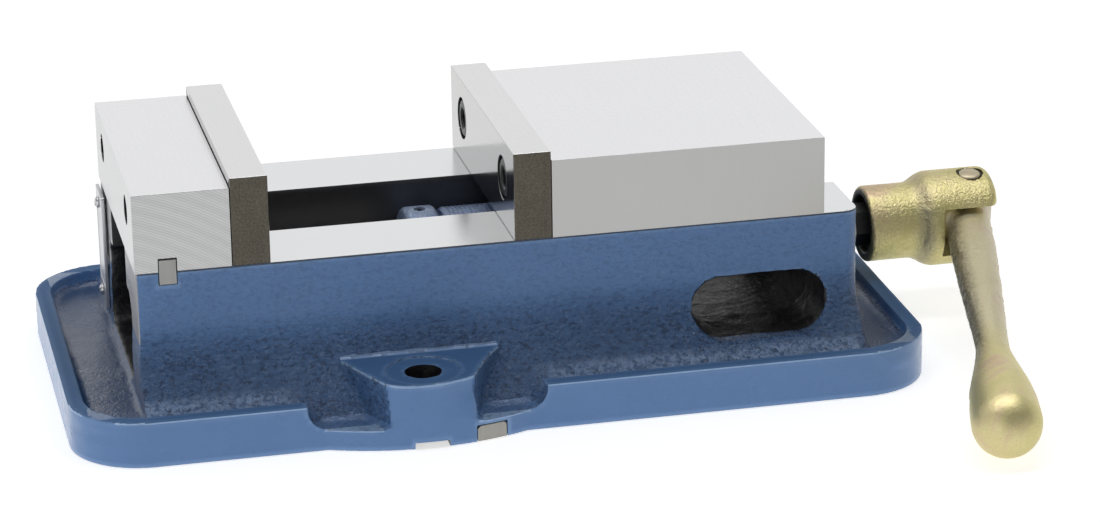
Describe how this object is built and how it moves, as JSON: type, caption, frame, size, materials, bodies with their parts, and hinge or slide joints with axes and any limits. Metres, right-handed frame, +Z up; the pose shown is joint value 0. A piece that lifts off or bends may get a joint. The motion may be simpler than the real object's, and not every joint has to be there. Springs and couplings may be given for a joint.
{
  "type": "machine vise",
  "caption": "Angle-locking milling machine vise with ground jaws on a swivel-lug cast bed, lead screw and swing crank.",
  "frame": {"origin": "centre of the base flange on its underside", "axes": "+X along the bed from the fixed jaw to the crank, +Z up, -Y to the side with the index insert"},
  "size_m": [0.4861, 0.3452, 0.1271],
  "materials": {
    "blue_paint": "gloss enamel over rough casting, ground ways bare",
    "ground_steel": "surface ground, fine lay",
    "hardened_steel": "hardened and ground",
    "plain_steel": "machined",
    "black_oxide": "black oxide, satin",
    "yellow_zinc": "yellow chromate zinc over rough casting",
    "pin_steel": "yellow chromate zinc, smooth",
    "plate_aluminium": "satin",
    "bronze": "turned bronze",
    "seal_rubber": "matt"
  },
  "bodies": {
    "bed": {"vise_body": "blue_paint", "index_insert": "plain_steel", "data_plate": "plate_aluminium", "data_plate_screw_upper": "plate_aluminium", "data_plate_screw_lower": "plate_aluminium", "fixed_jaw": "ground_steel", "fixed_jaw_plate": "hardened_steel", "fixed_plate_screw_front": "black_oxide", "fixed_plate_screw_rear": "black_oxide", "fixed_jaw_bolt_front": "black_oxide", "fixed_jaw_bolt_rear": "black_oxide", "fixed_jaw_key_front": "plain_steel", "fixed_jaw_key_rear": "plain_steel", "thrust_washer_outer": "plain_steel", "screw_seal": "seal_rubber", "bearing_retainer": "black_oxide"},
    "carriage": {"movable_jaw": "ground_steel", "movable_jaw_plate": "hardened_steel", "movable_plate_screw_front": "black_oxide", "movable_plate_screw_rear": "black_oxide", "jaw_set_screw": "black_oxide", "jaw_segment": "plain_steel", "nut": "blue_paint", "nut_wiper_collar": "blue_paint", "nut_collar_grub_screw": "black_oxide"},
    "spindle": {"lead_screw": "plain_steel", "screw_stop_collar": "plain_steel", "stop_collar_pin": "plain_steel", "thrust_washer_inner": "plain_steel", "thrust_bearing_cage": "bronze", "lock_collar": "black_oxide", "lock_collar_screw": "plain_steel"},
    "handle_hub": {"crank_hub": "yellow_zinc", "crank_pivot_pin": "pin_steel"},
    "handle_arm": {"crank_arm": "yellow_zinc"}
  },
  "joints": [
    {"name": "screw_spin", "type": "hinge", "parent": "bed", "child": "spindle", "pos_m": [0.1, 0, 0.04825], "axis": [1, 0, 0], "range_deg": [-8369, 4039]},
    {"name": "jaw_slide", "type": "slide", "parent": "bed", "child": "carriage", "axis": [1, 0, 0], "range_m": [-0.1181, 0.057]},
    {"name": "crank_pull", "type": "slide", "parent": "spindle", "child": "handle_hub", "axis": [1, 0, 0], "range_m": [0, 0.028]},
    {"name": "arm_swing", "type": "hinge", "parent": "handle_hub", "child": "handle_arm", "pos_m": [0.26175, 0, 0.04825], "axis": [0, -0.1444, 0.9895], "range_deg": [0, 206.4]}
  ],
  "couplings": [
    {"joint": "jaw_slide", "follows": "screw_spin", "m_per_rad": 0.00080851}
  ]
}
